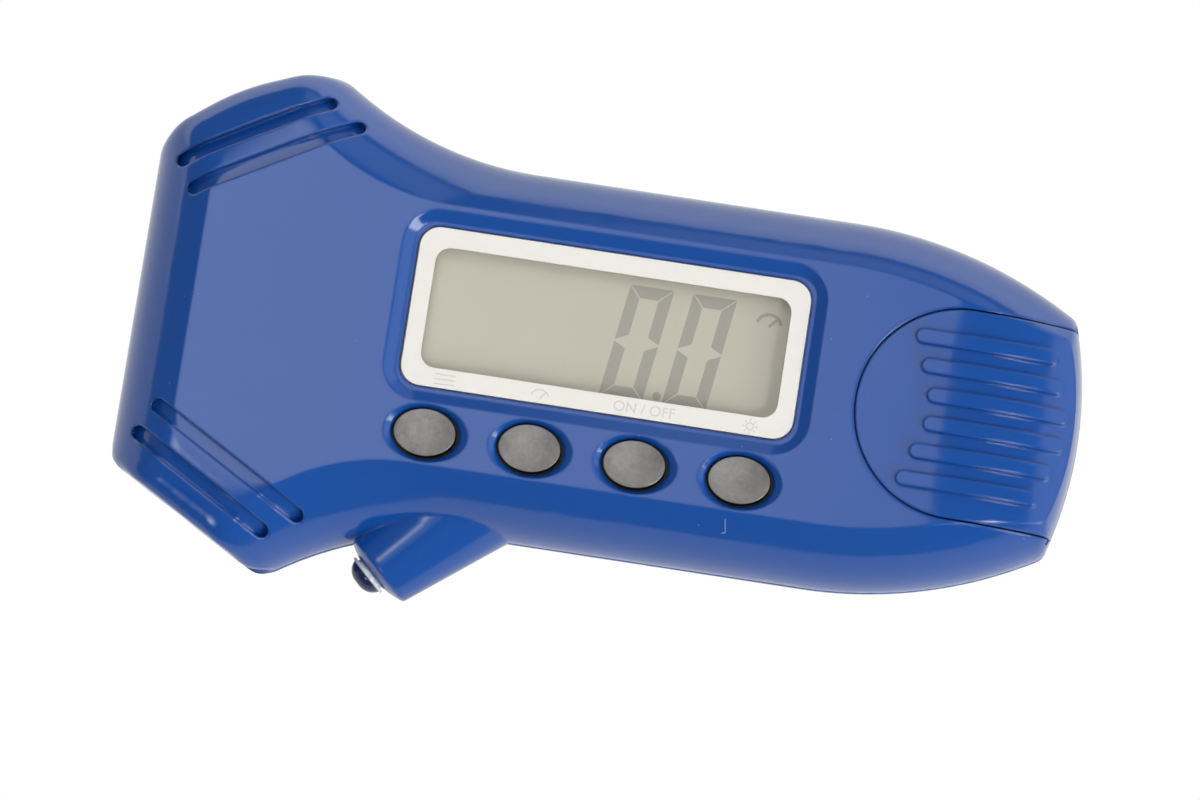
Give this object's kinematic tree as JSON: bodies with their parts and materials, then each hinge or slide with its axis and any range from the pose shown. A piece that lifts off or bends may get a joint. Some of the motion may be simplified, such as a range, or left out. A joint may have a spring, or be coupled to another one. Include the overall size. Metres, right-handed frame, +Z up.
{
  "type": "digital tyre pressure gauge",
  "caption": "Handheld digital tyre pressure gauge with a wide head, valve chuck, torch nozzle, small display, oval push buttons and a sliding battery door.",
  "frame": {"origin": "middle of the length and width on the flat underside that the gauge rests on", "axes": "+X from the head to the tail, +Y across the body away from the buttons, +Z up out of the display"},
  "size_m": [0.1202, 0.0642, 0.0257],
  "materials": {
    "blue_shell": "high gloss royal blue moulding",
    "bezel_plastic": "warm white satin",
    "clear_window": "clear polished",
    "display_glass": "grey-green liquid crystal glass",
    "white_plastic": "white moulded",
    "zebra_rubber": "striped silicone",
    "board_laminate": "green solder mask",
    "black_plastic": "moulded",
    "button_plastic": "satin grey",
    "bright_steel": "plated",
    "lens_plastic": "clear moulded",
    "brass": "turned",
    "black_rubber": "moulded",
    "soft_tube": "translucent silicone"
  },
  "bodies": {
    "housing": {"front_shell": "blue_shell", "back_shell": "blue_shell", "display_bezel": "bezel_plastic", "display_window": "clear_window", "lcd_panel": "display_glass", "backlight_plate": "white_plastic", "lcd_frame": "white_plastic", "lcd_connector": "zebra_rubber", "circuit_board": "board_laminate", "controller_chip": "black_plastic", "board_components": "black_plastic", "tact_switches": "black_plastic", "coin_cell": "bright_steel", "positive_contact": "bright_steel", "negative_contact": "bright_steel", "torch_lens": "lens_plastic", "torch_led": "lens_plastic", "chuck_body": "brass", "chuck_seal": "black_rubber", "valve_pin": "brass", "air_tube": "soft_tube", "pressure_sensor": "black_plastic", "housing_screws": "bright_steel"},
    "door": {"battery_door": "blue_shell"},
    "mode_key": {"mode_button": "button_plastic", "mode_plunger": "black_plastic"},
    "unit_key": {"unit_button": "button_plastic", "unit_plunger": "black_plastic"},
    "power_key": {"power_button": "button_plastic", "power_plunger": "black_plastic"},
    "light_key": {"light_button": "button_plastic", "light_plunger": "black_plastic"}
  },
  "joints": [
    {"name": "battery_door_slide", "type": "slide", "parent": "housing", "child": "door", "axis": [1, 0, 0], "range_m": [0, 0.03]},
    {"name": "mode_button_press", "type": "slide", "parent": "housing", "child": "mode_key", "axis": [0, 0, -1], "range_m": [0, 0.0003], "stiffness_N_per_m": 3000, "springref_m": -0.0002},
    {"name": "unit_button_press", "type": "slide", "parent": "housing", "child": "unit_key", "axis": [0, 0, -1], "range_m": [0, 0.0003], "stiffness_N_per_m": 3000, "springref_m": -0.0002},
    {"name": "power_button_press", "type": "slide", "parent": "housing", "child": "power_key", "axis": [0, 0, -1], "range_m": [0, 0.0003], "stiffness_N_per_m": 3000, "springref_m": -0.0002},
    {"name": "light_button_press", "type": "slide", "parent": "housing", "child": "light_key", "axis": [0, 0, -1], "range_m": [0, 0.0003], "stiffness_N_per_m": 3000, "springref_m": -0.0002}
  ]
}
